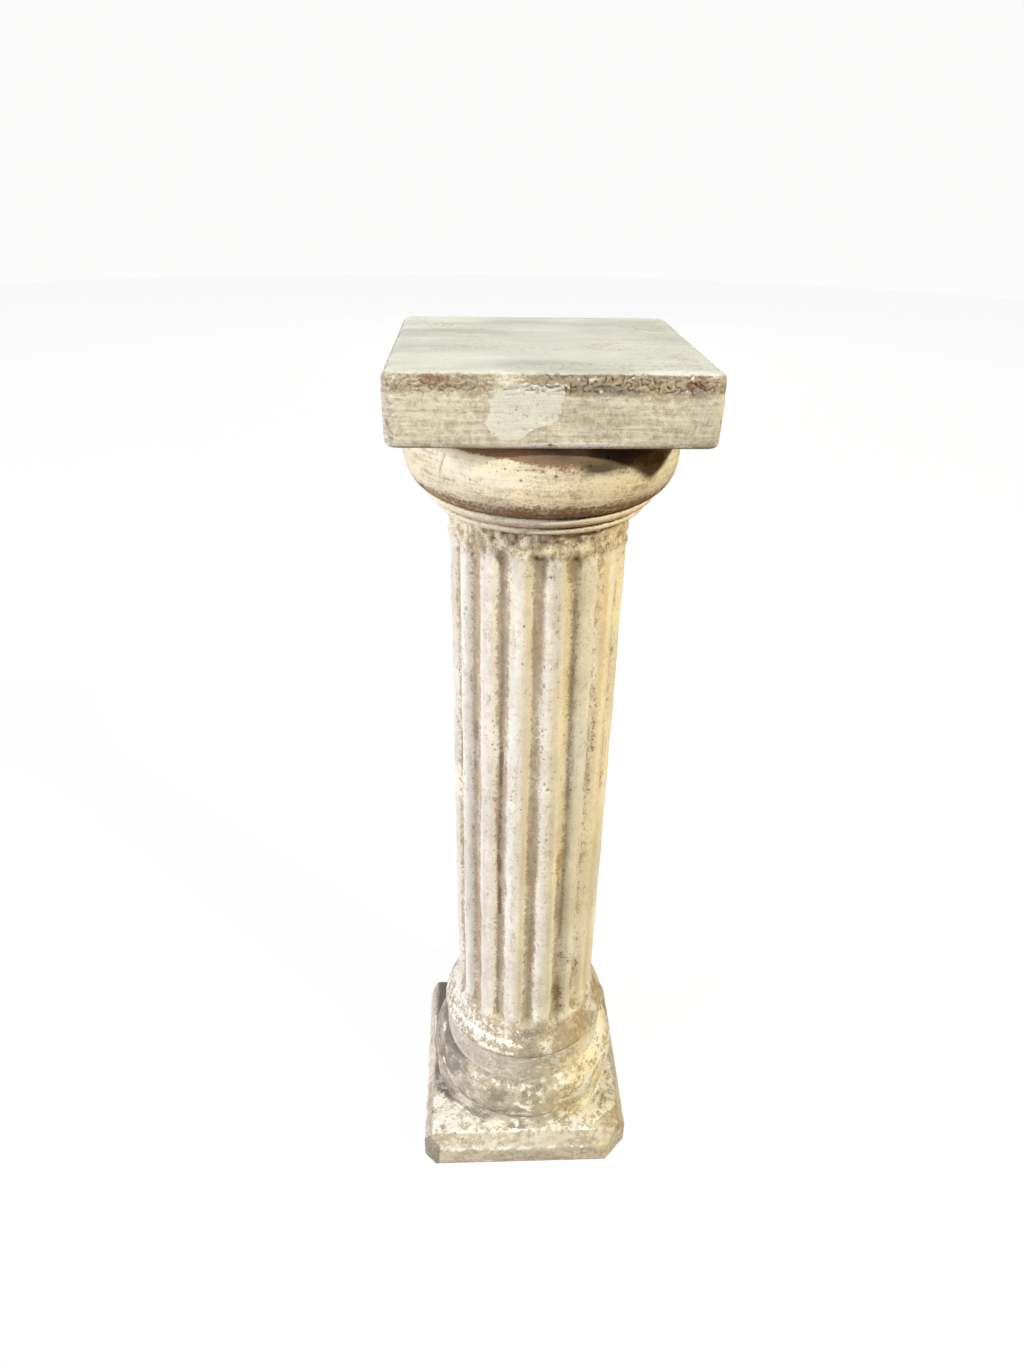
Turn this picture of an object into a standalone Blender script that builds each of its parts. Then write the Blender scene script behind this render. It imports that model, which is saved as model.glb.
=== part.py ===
"""A cast stone pedestal column: a fluted shaft cast in one with its square plinth,
base mouldings and capital, and a separate square top slab bedded on the capital.
Metres, +Z up. The origin is the middle of the plinth's underside."""

import math

import bmesh
import bpy
from mathutils import Matrix

# Fluted shaft
SHAFT_FOOT_RADIUS = 0.0795
SHAFT_TOP_RADIUS = 0.0779
SHAFT_LENGTH = 0.5460
FLUTES = 16
FLUTE_DEPTH = 0.0055
FLUTE_END = 0.0090
FLUTE_INTO_FOOT = 0.0280
FLUTE_BELOW_TOP = 0.0030
FLUTE_SHARE = 0.62
FLUTE_TURN = math.radians(-3.0)

# Plinth, from the ground up
PLINTH_BAND = 0.0270
PLINTH_SPLAY_RISE = 0.0196
PLINTH_SPLAY_IN = 0.0107
PLINTH_MARGIN = 0.0019
CLIP_FRONT_RIGHT = 0.0254
CLIP_FRONT_LEFT = 0.0131
CLIP_BACK = 0.0150

# Base mouldings, as heights and as how far each stands out from the shaft's foot
SKIRT_RISE = 0.0194
SKIRT_OUT = 0.0300
SKIRT_TOP_OUT = 0.0250
TORUS_RISE = 0.0500
TORUS_OUT = 0.0300
NECK_RISE = 0.0420
NECK_OUT = 0.0140
LIP_RISE = 0.0030
OGEE_RISE = 0.0650
OGEE_OUT = 0.0160
OGEE_BIAS = 0.6

# Capital mouldings, as heights and as how far each stands out from the shaft's top
CAVETTO_RISE = 0.0185
CAVETTO_OUT = 0.0085
LOW_ANNULET_RISE = 0.0065
LOW_ANNULET_OUT = 0.0130
HIGH_ANNULET_RISE = 0.0105
HIGH_ANNULET_OUT = 0.0200
GROOVE_IN = 0.0030
ECHINUS_BELLY_RISE = 0.0305
ECHINUS_OUT = 0.0376
ECHINUS_SHOULDER_RISE = 0.0284
ECHINUS_SHOULDER_IN = 0.0035

# Top slab
SLAB_THICK = 0.0533
SLAB_OVERHANG = 0.0045
SLAB_CORNER = 0.0096
SLAB_TOP_EDGE = 0.0077
SLAB_BOTTOM_EDGE = 0.0045
BED_GAP = 0.0003

# How finely the round forms are faceted
FACETS_PER_PITCH = 6
FACETS_IN_FLUTE = 4
ROLL_STEPS = 6
SMALL_ROLL_STEPS = 4
EDGE_SEGMENTS = 4
SHAFT_ROWS = (1 / 3, 2 / 3)
FLUTE_END_ROWS = (0.12, 0.4, 1.0)
SHARPER_THAN = math.radians(32.0)
TOUCHING = 1e-6

# How far the lowest moulding runs down into the plinth, so that the two join
BED_OVERLAP = 0.0100

PLINTH_TOP = PLINTH_BAND + PLINTH_SPLAY_RISE
PLINTH_HALF = SHAFT_FOOT_RADIUS + SKIRT_OUT + PLINTH_MARGIN + PLINTH_SPLAY_IN
LIP_FOOT = PLINTH_TOP + SKIRT_RISE + TORUS_RISE + NECK_RISE
SHAFT_FOOT = LIP_FOOT + LIP_RISE + OGEE_RISE
SHAFT_TOP = SHAFT_FOOT + SHAFT_LENGTH
ECHINUS_FOOT = SHAFT_TOP + CAVETTO_RISE + LOW_ANNULET_RISE + HIGH_ANNULET_RISE
COLUMN_TOP = ECHINUS_FOOT + ECHINUS_BELLY_RISE + ECHINUS_SHOULDER_RISE
SLAB_HALF = SHAFT_TOP_RADIUS + ECHINUS_OUT + SLAB_OVERHANG


def stone(name, colour, roughness):
    material = bpy.data.materials.new(name)
    material.use_nodes = True
    shader = material.node_tree.nodes["Principled BSDF"]
    shader.inputs["Base Color"].default_value = (*colour, 1.0)
    shader.inputs["Roughness"].default_value = roughness
    shader.inputs["Metallic"].default_value = 0.0
    return material


def roll(foot, top, out, steps=ROLL_STEPS):
    """A half round from foot to top, each a (radius, height), standing out by out."""
    points = []
    for step in range(1, steps):
        turn = math.pi * step / steps
        share = (1 - math.cos(turn)) / 2
        radius = foot[0] + (top[0] - foot[0]) * share + out * math.sin(turn)
        points.append((radius, foot[1] + (top[1] - foot[1]) * share))
    return points


def quarter(start, end, upright_start):
    """A quarter of an ellipse from start to end, upright at one end and level at the other."""
    points = []
    for step in range(1, ROLL_STEPS):
        turn = math.pi / 2 * step / ROLL_STEPS
        if upright_start:
            across, along = 1 - math.cos(turn), math.sin(turn)
        else:
            across, along = math.sin(turn), 1 - math.cos(turn)
        points.append((start[0] + (end[0] - start[0]) * across, start[1] + (end[1] - start[1]) * along))
    return points


def ogee(foot, top):
    """A double curve from foot to top, fuller near its foot and upright where it meets the shaft."""
    points = []
    for step in range(1, ROLL_STEPS):
        share = step / ROLL_STEPS
        inward = (1 - math.cos(math.pi * share**OGEE_BIAS)) / 2
        points.append((foot[0] + (top[0] - foot[0]) * inward, foot[1] + (top[1] - foot[1]) * share))
    return points


def base_outline():
    """(radius, height) from inside the plinth up to the foot of the straight shaft."""
    foot = SHAFT_FOOT_RADIUS
    skirt_foot = (foot + SKIRT_OUT, PLINTH_TOP)
    skirt_top = (foot + SKIRT_TOP_OUT, PLINTH_TOP + SKIRT_RISE)
    neck_foot = (foot + NECK_OUT, skirt_top[1] + TORUS_RISE)
    neck_top = (foot + NECK_OUT, LIP_FOOT)
    lip = (foot + OGEE_OUT, LIP_FOOT + LIP_RISE)
    shaft_foot = (foot, SHAFT_FOOT)
    torus_middle = (skirt_top[0] + neck_foot[0]) / 2
    outline = [(skirt_foot[0], PLINTH_TOP - BED_OVERLAP), skirt_foot]
    outline += quarter(skirt_foot, skirt_top, False)[::2]
    outline.append(skirt_top)
    outline += roll(skirt_top, neck_foot, foot + TORUS_OUT - torus_middle)
    outline += [neck_foot, neck_top]
    outline += quarter(neck_top, lip, False)[::3]
    outline.append(lip)
    outline += ogee(lip, shaft_foot)
    outline.append(shaft_foot)
    return outline


def capital_outline():
    """(radius, height) from the top of the straight shaft up to the bed of the slab."""
    top = SHAFT_TOP_RADIUS
    cavetto_top = (top + CAVETTO_OUT, SHAFT_TOP + CAVETTO_RISE)
    low_top = (top + LOW_ANNULET_OUT - GROOVE_IN, cavetto_top[1] + LOW_ANNULET_RISE)
    echinus_foot = (top + HIGH_ANNULET_OUT - GROOVE_IN, ECHINUS_FOOT)
    belly = (top + ECHINUS_OUT, ECHINUS_FOOT + ECHINUS_BELLY_RISE)
    shoulder = (belly[0] - ECHINUS_SHOULDER_IN, COLUMN_TOP)
    outline = quarter((top, SHAFT_TOP), cavetto_top, True)[::2]
    outline.append(cavetto_top)
    low_out = LOW_ANNULET_OUT - (CAVETTO_OUT + LOW_ANNULET_OUT - GROOVE_IN) / 2
    outline += roll(cavetto_top, low_top, low_out, SMALL_ROLL_STEPS)
    outline.append(low_top)
    high_out = GROOVE_IN + (HIGH_ANNULET_OUT - LOW_ANNULET_OUT) / 2
    outline += roll(low_top, echinus_foot, high_out, SMALL_ROLL_STEPS)
    outline.append(echinus_foot)
    outline += quarter(echinus_foot, belly, False)
    outline.append(belly)
    outline += quarter(belly, shoulder, True)[::2]
    outline.append(shoulder)
    return outline


def flute_levels():
    """Heights of the rows that shape the flutes' ends, and of those along the shaft."""
    low = SHAFT_FOOT - FLUTE_INTO_FOOT
    high = SHAFT_TOP - FLUTE_BELOW_TOP
    levels = [SHAFT_FOOT + SHAFT_LENGTH * share for share in SHAFT_ROWS]
    for share in FLUTE_END_ROWS:
        levels.append(low + FLUTE_END * share)
        levels.append(high - FLUTE_END * share)
    return levels


def with_levels(outline, levels):
    """The outline with a point added at each level, on the line between its neighbours."""
    whole = list(outline)
    for level in sorted(levels):
        for index in range(len(whole) - 1):
            low, high = whole[index], whole[index + 1]
            if low[1] < level < high[1]:
                share = (level - low[1]) / (high[1] - low[1])
                whole.insert(index + 1, (low[0] + (high[0] - low[0]) * share, level))
                break
    return whole


def flute_floor(height):
    """Radius of the flutes' deepest line at a height."""
    share = (height - SHAFT_FOOT) / SHAFT_LENGTH
    surface = SHAFT_FOOT_RADIUS + (SHAFT_TOP_RADIUS - SHAFT_FOOT_RADIUS) * share
    return surface - FLUTE_DEPTH


def gathered(phase):
    """Moves a facet's edge so that one lies on each arris of a flute. Phase runs from -0.5 to 0.5."""
    arris = FLUTE_SHARE / 2
    even_arris = FACETS_IN_FLUTE / FACETS_PER_PITCH / 2
    if abs(phase) <= even_arris:
        return phase * arris / even_arris
    beyond = (abs(phase) - even_arris) / (0.5 - even_arris)
    return math.copysign(arris + (0.5 - arris) * beyond, phase)


def flute_cut(phase, radius, height):
    """How deep a flute is cut into a surface of this radius, at a phase across it."""
    low = SHAFT_FOOT - FLUTE_INTO_FOOT
    high = SHAFT_TOP - FLUTE_BELOW_TOP
    from_end = min(height - low, high - height)
    if from_end <= 0:
        return 0.0
    ending = 1 - min(from_end / FLUTE_END, 1.0)
    fullness = math.sqrt(1 - ending * ending)
    hollow = 1 - min(abs(phase) / (FLUTE_SHARE / 2), 1.0) ** 2
    return max(radius - flute_floor(height), 0.0) * fullness * hollow


def fluted_column():
    """The turned outline with its flutes, then the plinth joined to its foot."""
    outline = with_levels(base_outline() + capital_outline(), flute_levels())
    outline = [(0.0, outline[0][1])] + outline + [(0.0, COLUMN_TOP)]
    turned = bmesh.new()
    verts = [turned.verts.new((radius, 0.0, height)) for radius, height in outline]
    edges = [turned.edges.new(pair) for pair in zip(verts, verts[1:])]
    bmesh.ops.spin(
        turned,
        geom=verts + edges,
        axis=(0.0, 0.0, 1.0),
        cent=(0.0, 0.0, 0.0),
        steps=FLUTES * FACETS_PER_PITCH,
        angle=2 * math.pi,
        use_merge=True,
    )
    bmesh.ops.remove_doubles(turned, verts=turned.verts, dist=TOUCHING)
    pitch = 2 * math.pi / FLUTES
    for vert in turned.verts:
        radius = math.hypot(vert.co.x, vert.co.y)
        if radius < TOUCHING:
            continue
        turn = math.atan2(vert.co.y, vert.co.x)
        middle = round(turn / pitch) * pitch
        phase = gathered((turn - middle) / pitch)
        radius -= flute_cut(phase, radius, vert.co.z)
        turn = middle + phase * pitch
        vert.co.x = radius * math.cos(turn)
        vert.co.y = radius * math.sin(turn)
    front = Matrix.Rotation(FLUTE_TURN - math.pi / 2, 4, "Z")
    bmesh.ops.transform(turned, matrix=front, verts=turned.verts)
    bmesh.ops.recalc_face_normals(turned, faces=turned.faces)
    return finished("fluted_column", turned)


def plinth():
    """A square block with a splayed upper edge and four clipped corners."""
    block = bmesh.new()
    bmesh.ops.create_cube(block, size=1.0)
    size = (2 * PLINTH_HALF, 2 * PLINTH_HALF, PLINTH_TOP)
    bmesh.ops.scale(block, vec=size, verts=block.verts)
    bmesh.ops.translate(block, vec=(0, 0, PLINTH_TOP / 2), verts=block.verts)
    clips = {
        (1, -1): CLIP_FRONT_RIGHT,
        (-1, -1): CLIP_FRONT_LEFT,
        (1, 1): CLIP_BACK,
        (-1, 1): CLIP_BACK,
    }
    for (side_x, side_y), clip in clips.items():
        reach = PLINTH_HALF - clip / 2
        point = (side_x * reach, side_y * reach, 0.0)
        cut_off(block, point, (side_x, side_y, 0.0))
    for side_x, side_y in ((1, 0), (-1, 0), (0, 1), (0, -1)):
        point = (side_x * PLINTH_HALF, side_y * PLINTH_HALF, PLINTH_BAND)
        slope = (side_x * PLINTH_SPLAY_RISE, side_y * PLINTH_SPLAY_RISE, PLINTH_SPLAY_IN)
        cut_off(block, point, slope)
    bmesh.ops.recalc_face_normals(block, faces=block.faces)
    return finished("plinth_block", block)


def cut_off(block, point, outward):
    """Cuts away what lies beyond a plane and closes the cut."""
    geometry = block.verts[:] + block.edges[:] + block.faces[:]
    result = bmesh.ops.bisect_plane(
        block, geom=geometry, dist=TOUCHING, plane_co=point, plane_no=outward, clear_outer=True
    )
    rim = [item for item in result["geom_cut"] if isinstance(item, bmesh.types.BMEdge)]
    bmesh.ops.contextual_create(block, geom=rim)


def top_slab():
    """A square slab with rounded corners and softened edges."""
    low = COLUMN_TOP + BED_GAP
    slab = bmesh.new()
    bmesh.ops.create_cube(slab, size=1.0)
    bmesh.ops.scale(slab, vec=(2 * SLAB_HALF, 2 * SLAB_HALF, SLAB_THICK), verts=slab.verts)
    bmesh.ops.translate(slab, vec=(0, 0, low + SLAB_THICK / 2), verts=slab.verts)
    round_off(slab, lambda a, b: abs(a.z - b.z) > SLAB_THICK / 2, SLAB_CORNER)
    top = low + SLAB_THICK
    round_off(slab, lambda a, b: min(a.z, b.z) > top - TOUCHING, SLAB_TOP_EDGE)
    round_off(slab, lambda a, b: max(a.z, b.z) < low + TOUCHING, SLAB_BOTTOM_EDGE)
    return finished("top_slab", slab)


def round_off(slab, chosen, width):
    """Rounds the outer edges whose two ends are chosen."""
    edges = [
        edge
        for edge in slab.edges
        if chosen(edge.verts[0].co, edge.verts[1].co) and edge.calc_face_angle(0) > SHARPER_THAN
    ]
    bmesh.ops.bevel(
        slab,
        geom=edges,
        offset=width,
        offset_type="OFFSET",
        affect="EDGES",
        segments=EDGE_SEGMENTS,
        profile=0.5,
        material=-1,
    )


def finished(name, shape):
    mesh = bpy.data.meshes.new(name)
    shape.to_mesh(mesh)
    shape.free()
    piece = bpy.data.objects.new(name, mesh)
    bpy.context.scene.collection.objects.link(piece)
    return piece


for old in list(bpy.data.objects):
    bpy.data.objects.remove(old, do_unlink=True)

column = fluted_column()
column.data.materials.append(stone("whitewashed_cast_stone", (0.72, 0.63, 0.50), 0.85))
column.data.shade_smooth()
column.data.set_sharp_from_angle(angle=SHARPER_THAN)

block = plinth()
block.hide_render = True
block.display_type = "WIRE"
join = column.modifiers.new("join the plinth", "BOOLEAN")
join.operation = "UNION"
join.solver = "EXACT"
join.object = block

slab = top_slab()
slab.data.materials.append(stone("brushed_limewash_slab", (0.68, 0.64, 0.55), 0.85))
slab.data.shade_smooth()
slab.data.set_sharp_from_angle(angle=SHARPER_THAN)
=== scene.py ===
"""A worn, whitewashed stone pedestal column, dressed for a photograph-like render."""

import math

import bmesh
import bpy
import numpy as np
from mathutils import Matrix, Vector, noise
from mathutils.bvhtree import BVHTree
from mathutils.kdtree import KDTree


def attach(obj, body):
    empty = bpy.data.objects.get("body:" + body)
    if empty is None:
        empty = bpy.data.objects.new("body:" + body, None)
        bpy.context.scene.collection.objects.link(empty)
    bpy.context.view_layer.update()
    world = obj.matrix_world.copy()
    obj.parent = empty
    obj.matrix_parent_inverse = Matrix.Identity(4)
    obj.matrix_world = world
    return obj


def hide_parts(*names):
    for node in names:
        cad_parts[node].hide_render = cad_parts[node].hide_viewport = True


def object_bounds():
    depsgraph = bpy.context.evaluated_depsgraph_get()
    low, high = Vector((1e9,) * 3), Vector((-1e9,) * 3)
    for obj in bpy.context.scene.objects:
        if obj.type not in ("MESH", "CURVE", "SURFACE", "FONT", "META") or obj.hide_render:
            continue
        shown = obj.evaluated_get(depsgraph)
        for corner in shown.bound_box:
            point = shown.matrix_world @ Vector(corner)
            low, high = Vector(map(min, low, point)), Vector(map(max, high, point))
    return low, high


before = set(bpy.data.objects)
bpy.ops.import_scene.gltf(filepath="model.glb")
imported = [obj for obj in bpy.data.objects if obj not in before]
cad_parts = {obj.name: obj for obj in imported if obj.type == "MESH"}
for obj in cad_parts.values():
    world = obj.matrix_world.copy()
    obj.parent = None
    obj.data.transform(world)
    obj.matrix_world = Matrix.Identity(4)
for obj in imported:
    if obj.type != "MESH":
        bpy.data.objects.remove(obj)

cad_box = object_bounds()

# The camera stands where the photograph was taken, a little above the column and to its left.
# The photograph is 1024 by 1365 pixels, so a pixel of it is also a line of sight from here.
PHOTO_WIDTH = 1024
PHOTO_HEIGHT = 1365
FOCAL_PIXELS = 880
SENSOR = 36.0
YAW = math.radians(-2.624)
PITCH = math.radians(30.978)
ROLL = math.radians(0.968)
CAMERA_PLACE = (-0.054729, -0.735763, 1.045743)
NEAREST = 0.05

camera = bpy.data.objects.new("camera", bpy.data.cameras.new("camera"))
camera.data.sensor_width = SENSOR
camera.data.lens = SENSOR * FOCAL_PIXELS / PHOTO_HEIGHT
camera.data.clip_start = NEAREST
ahead = Vector((-math.sin(YAW) * math.cos(PITCH), math.cos(YAW) * math.cos(PITCH), -math.sin(PITCH)))
level = Vector((math.cos(YAW), math.sin(YAW), 0))
upward = level.cross(ahead)
camera_turn = Matrix(
    (
        math.cos(ROLL) * level + math.sin(ROLL) * upward,
        math.cos(ROLL) * upward - math.sin(ROLL) * level,
        -ahead,
    )
).transposed()
camera.matrix_world = Matrix.Translation(CAMERA_PLACE) @ camera_turn.to_4x4()
bpy.context.scene.collection.objects.link(camera)
bpy.context.scene.camera = camera

# The plinth is the square foot of the casting, with a splayed upper edge and four clipped corners.
# It is cast stone in one with the column, brushed with limewash and dirty where the rain lies on it.
PLINTH_HALF = 0.1221
PLINTH_BAND = 0.0270
PLINTH_SPLAY_RISE = 0.0196
PLINTH_SPLAY_IN = 0.0107
PLINTH_CLIPS = {(1, -1): 0.0254, (-1, -1): 0.0131, (1, 1): 0.0150, (-1, 1): 0.0150}
PLINTH_TOP = PLINTH_BAND + PLINTH_SPLAY_RISE
SKIN_CELL = 0.0016
FINE_REACH = 0.0038
STROKE_STEP = 0.3
QUARTERS = (0, 90, 180, 270)
TOUCHING = 1e-6
# Besides real stains and wear, these layers also carry painted shade, painted shadow, painted highlights and
# painted warm light.
LAYERS = ("wash_and_painted_light", "ochre_and_painted_warm_light", "rust_and_painted_shade", "grime_and_painted_shade", "lime_and_painted_highlight", "film", "hole_and_painted_shadow")
noise.seed_set(7)


def cut_off(block, point, outward):
    """Cuts away what lies beyond a plane and closes the cut."""
    geometry = block.verts[:] + block.edges[:] + block.faces[:]
    result = bmesh.ops.bisect_plane(
        block, geom=geometry, dist=TOUCHING, plane_co=point, plane_no=outward, clear_outer=True
    )
    rim = [item for item in result["geom_cut"] if isinstance(item, bmesh.types.BMEdge)]
    bmesh.ops.contextual_create(block, geom=rim)


def casting(name, shape, cell=None):
    """An object from a bmesh. Where a cell is given, its skin is remeshed to that size."""
    bmesh.ops.remove_doubles(shape, verts=shape.verts, dist=TOUCHING)
    bmesh.ops.recalc_face_normals(shape, faces=shape.faces)
    piece = bpy.data.objects.new(name, bpy.data.meshes.new(name))
    shape.to_mesh(piece.data)
    shape.free()
    bpy.context.scene.collection.objects.link(piece)
    if cell:
        skin = piece.modifiers.new("even skin", "REMESH")
        skin.mode = "VOXEL"
        skin.voxel_size = cell
        graph = bpy.context.evaluated_depsgraph_get()
        fine = bpy.data.meshes.new_from_object(piece.evaluated_get(graph))
        piece.modifiers.clear()
        piece.data = fine
        fine.name = name
    piece.data.shade_smooth()
    return piece


def smooth(low, high, values):
    """0 up to low and 1 from high on, with a soft step between them. High may be the lesser of the two."""
    share = np.clip((values - low) / (high - low), 0, 1)
    return share * share * (3 - 2 * share)


def near_to(place, width, values):
    """1 where the values are at a place, fading to nothing about two widths from it."""
    return np.exp(-(((values - place) / width) ** 2))


class Wear:
    """The layers of paint, dirt and damage on one piece, with painted shade and highlights among them, each
    a number at every point of its skin.
    Strokes and holes are placed by pixels of the photograph, and their sizes are in millimetres."""

    def __init__(self, piece, fine=()):
        self.piece = piece
        self.measure()
        if fine:
            self.refine(fine)
            self.measure()

    def measure(self):
        """Reads the skin's points and clears the layers and the relief."""
        mesh = self.piece.data
        self.points = np.empty((len(mesh.vertices), 3), np.float32)
        mesh.vertices.foreach_get("co", self.points.ravel())
        self.outward = np.empty_like(self.points)
        mesh.vertices.foreach_get("normal", self.outward.ravel())
        self.layers = {layer: np.zeros(len(self.points)) for layer in LAYERS}
        self.relief = np.zeros(len(self.points))
        self.sight = BVHTree.FromPolygons(
            [vert.co for vert in mesh.vertices], [face.vertices[:] for face in mesh.polygons]
        )
        self.near = KDTree(len(self.points))
        for index, vert in enumerate(mesh.vertices):
            self.near.insert(vert.co, index)
        self.near.balance()

    def refine(self, paths):
        """Gives the skin finer faces along these paths of pixels, so that small marks are crisp there."""
        close = set()
        for path in paths:
            close.update(np.flatnonzero(self.brushed(path, FINE_REACH)))
        shape = bmesh.new()
        shape.from_mesh(self.piece.data)
        shape.verts.ensure_lookup_table()
        edges = [edge for edge in shape.edges if close.issuperset(vert.index for vert in edge.verts)]
        bmesh.ops.subdivide_edges(shape, edges=edges, cuts=2, use_grid_fill=True)
        shape.to_mesh(self.piece.data)
        shape.free()

    def rough(self, cell, seed, stretch=(1, 1, 1)):
        """Noise of about plus or minus one, in lumps of about this size."""
        shift = Vector((seed * 7.3, seed * 3.1, seed * 5.7))
        spread = self.points / (np.array(stretch) * cell)
        return np.array([noise.noise(Vector(point) + shift) for point in spread])

    def patches(self, cell, seed, low, high, stretch=(1, 1, 1)):
        """Soft patches from 0 to 1: a noise of this cell, 0 at low and 1 at high."""
        return smooth(low, high, self.rough(cell, seed, stretch))

    def coat(self, layer, amount):
        """Adds an amount of a layer at every point."""
        self.layers[layer] += amount

    def seen_at(self, x, y):
        """Where the line of sight through a pixel of the photograph meets this piece."""
        ray = Vector(((x - PHOTO_WIDTH / 2) / FOCAL_PIXELS, (PHOTO_HEIGHT / 2 - y) / FOCAL_PIXELS, -1))
        return self.sight.ray_cast(camera.matrix_world.translation, camera_turn @ ray)[0]

    def brushed(self, path, width, turns=(0,)):
        """How much each point is covered by a stroke along a path of pixels, from 0 to 1.
        The stroke is repeated round the column at the turns, in degrees."""
        cover = np.zeros(len(self.points))
        places = [place for place in (self.seen_at(x, y) for x, y in path) if place]
        if not places:
            return cover
        centres = [places[0]]
        for start, end in zip(places, places[1:]):
            steps = max(1, math.ceil((end - start).length / (width * STROKE_STEP)))
            centres += [start.lerp(end, step / steps) for step in range(1, steps + 1)]
        for turn in turns:
            round_axis = Matrix.Rotation(math.radians(turn), 3, "Z")
            for centre in centres:
                for _, index, distance in self.near.find_range(round_axis @ centre, width):
                    cover[index] = max(cover[index], 1 - (distance / width) ** 2)
        return cover

    def filled(self, corners):
        """1 at the points that the photograph shows inside an outline of pixels, 0 elsewhere."""
        sight = np.array(camera.matrix_world.translation) - self.points
        facing = np.einsum("ij,ij->i", sight, self.outward) > 0
        across, up, back = (sight @ np.array(camera_turn)).T
        x = PHOTO_WIDTH / 2 - FOCAL_PIXELS * across / back
        y = PHOTO_HEIGHT / 2 + FOCAL_PIXELS * up / back
        inside = np.zeros(len(x), bool)
        for (x1, y1), (x2, y2) in zip(corners, corners[1:] + corners[:1]):
            if y1 != y2:
                inside ^= ((y1 > y) != (y2 > y)) & (x < (x2 - x1) * (y - y1) / (y2 - y1) + x1)
        return (inside & facing).astype(float)

    def mark(self, layer, strength, width, *paths, turns=(0,)):
        """Adds a layer along strokes that reach this far to each side."""
        for path in paths:
            self.layers[layer] += strength * self.brushed(path, width / 1000, turns)

    def press(self, height, width, *paths, turns=(0,)):
        """Raises the skin along strokes, or sinks it where height is negative."""
        for path in paths:
            self.relief += height / 1000 * self.brushed(path, width / 1000, turns)

    def pit(self, size, *places, turns=(0,)):
        """Small dark holes of up to about this width, no two alike."""
        for place in places:
            share = 0.45 + 0.55 * noise.random()
            cover = self.brushed([place], share * size * 0.75 / 1000, turns)
            self.relief -= 0.40 * share * size / 1000 * cover
            self.layers["hole_and_painted_shadow"] += (0.3 + 0.7 * noise.random()) * cover

    def set_down(self, material):
        """Writes the layers into the piece, inside the CAD's box, and sets it on the column's body."""
        mesh = self.piece.data
        moved = self.points + self.outward * self.relief[:, None]
        moved = np.clip(moved, np.array(cad_box[0]) + TOUCHING, np.array(cad_box[1]) - TOUCHING)
        mesh.vertices.foreach_set("co", moved.astype(np.float32).ravel())
        for layer, values in self.layers.items():
            stored = mesh.attributes.new(layer, "FLOAT", "POINT")
            stored.data.foreach_set("value", values.astype(np.float32))
        mesh.materials.clear()
        mesh.materials.append(material)
        mesh.update()
        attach(self.piece, "root")


block = bmesh.new()
bmesh.ops.create_cube(block, size=1.0)
bmesh.ops.scale(block, vec=(2 * PLINTH_HALF, 2 * PLINTH_HALF, PLINTH_TOP), verts=block.verts)
bmesh.ops.translate(block, vec=(0, 0, PLINTH_TOP / 2), verts=block.verts)
for (side_x, side_y), clip in PLINTH_CLIPS.items():
    reach = PLINTH_HALF - clip / 2
    cut_off(block, (side_x * reach, side_y * reach, 0), (side_x, side_y, 0))
for side_x, side_y in ((1, 0), (-1, 0), (0, 1), (0, -1)):
    slope = (side_x * PLINTH_SPLAY_RISE, side_y * PLINTH_SPLAY_RISE, PLINTH_SPLAY_IN)
    cut_off(block, (side_x * PLINTH_HALF, side_y * PLINTH_HALF, PLINTH_BAND), slope)
plinth = casting("plinth", block, SKIN_CELL)
PLINTH_PITS = [(572, 1127), (595.8, 1129.8), (531, 1127), (463, 1139), (548, 1155), (487, 1156)]
BACK_LEFT_DARKENING = [(440, 985), (438, 1010), (437, 1040)]
LEFT_SPLASHES = [[(435.7, 1016), (435.7, 1035)], [(441.4, 1058), (441.4, 1071)]]
FRONT_LEFT_STAIN = [(467, 1107), (475, 1112), (484, 1119)]
CORNER_STAINS = [[(470, 1108.5)], [(479, 1117.7)], [(604, 1085), (611, 1100)]]
CORNER_WASHES = [[(440, 1100), (450, 1120)], [(575, 1120), (590, 1108)]]
SPLAY_RUST = [[(495, 1124), (518, 1126)], [(604, 1130), (611, 1150)]]
LEFT_CLIP = [(423, 1139), (430, 1135), (440, 1146), (440, 1164), (430, 1164), (423, 1153)]
RIGHT_CLIP = [(594, 1124), (599, 1118), (617, 1104), (619, 1126), (603, 1149)]

wear = Wear(plinth, [[place] for place in PLINTH_PITS])
x, y, z = wear.points.T
on_top = smooth(PLINTH_TOP - 0.003, PLINTH_TOP - 0.001, z)
out = np.maximum(abs(x), abs(y))
# The band's upper arris gets thicker wash and flecked lime: a painted highlight along the edge.
painted_arris_highlight = near_to(PLINTH_BAND, 0.0034, z) * (out > 0.110)
mottled = wear.rough(0.007, 5) + 0.5 * wear.rough(0.0035, 8)
# The top is darker grey towards the back left, with less lime there.
darker_back_left = on_top * smooth(-0.02, -0.09, x) * smooth(-0.09, 0.02, y)
round_skirt = on_top * smooth(0.132, 0.108, np.hypot(x, y)) * smooth(0.14, 0.0, x)

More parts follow.
